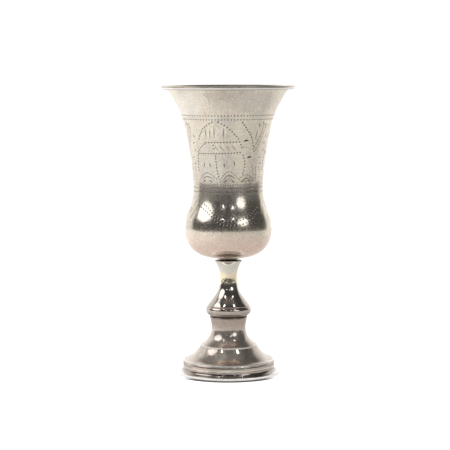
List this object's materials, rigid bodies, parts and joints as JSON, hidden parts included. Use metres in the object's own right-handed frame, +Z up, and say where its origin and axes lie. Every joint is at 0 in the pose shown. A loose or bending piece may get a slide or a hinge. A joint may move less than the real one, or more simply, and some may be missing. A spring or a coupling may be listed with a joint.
{
  "type": "ceremonial goblet",
  "caption": "Silver ceremonial goblet: engraved bell-shaped bowl with a turned-out lip, on a hollow baluster stem with a knop and a stepped round foot.",
  "frame": {"origin": "centre of the foot's resting face", "axes": "+Z up along the goblet's axis of turning, +Y towards the back, +X to the right of the engraved front"},
  "size_m": [0.0628, 0.0628, 0.135],
  "materials": {
    "bowl_silver": "satin silver, engraved, with grey-pink tarnish",
    "lip_silver": "polished silver, worn",
    "stem_silver": "polished silver with light tarnish",
    "knop_silver": "polished silver with light tarnish",
    "foot_silver": "polished silver with light tarnish and fine scratches",
    "band_silver": "polished silver with a faint iridescent tarnish",
    "base_silver": "polished silver, bright where it is handled",
    "brass_fastener": "turned and dull"
  },
  "bodies": {
    "root": {"bowl": "bowl_silver", "lip_wire": "lip_silver", "bowl_boss": "stem_silver", "tie_rod": "brass_fastener", "stem_cap": "stem_silver", "upper_stem": "stem_silver", "knop_fillet": "knop_silver", "knop_upper": "knop_silver", "knop_lower": "knop_silver", "collar_ring": "knop_silver", "lower_stem": "foot_silver", "step_ring": "foot_silver", "foot_dome": "foot_silver", "foot_band": "band_silver", "base_cove": "band_silver", "base_ring": "base_silver", "clamp_washer": "brass_fastener", "retaining_nut": "brass_fastener"}
  },
  "joints": []
}
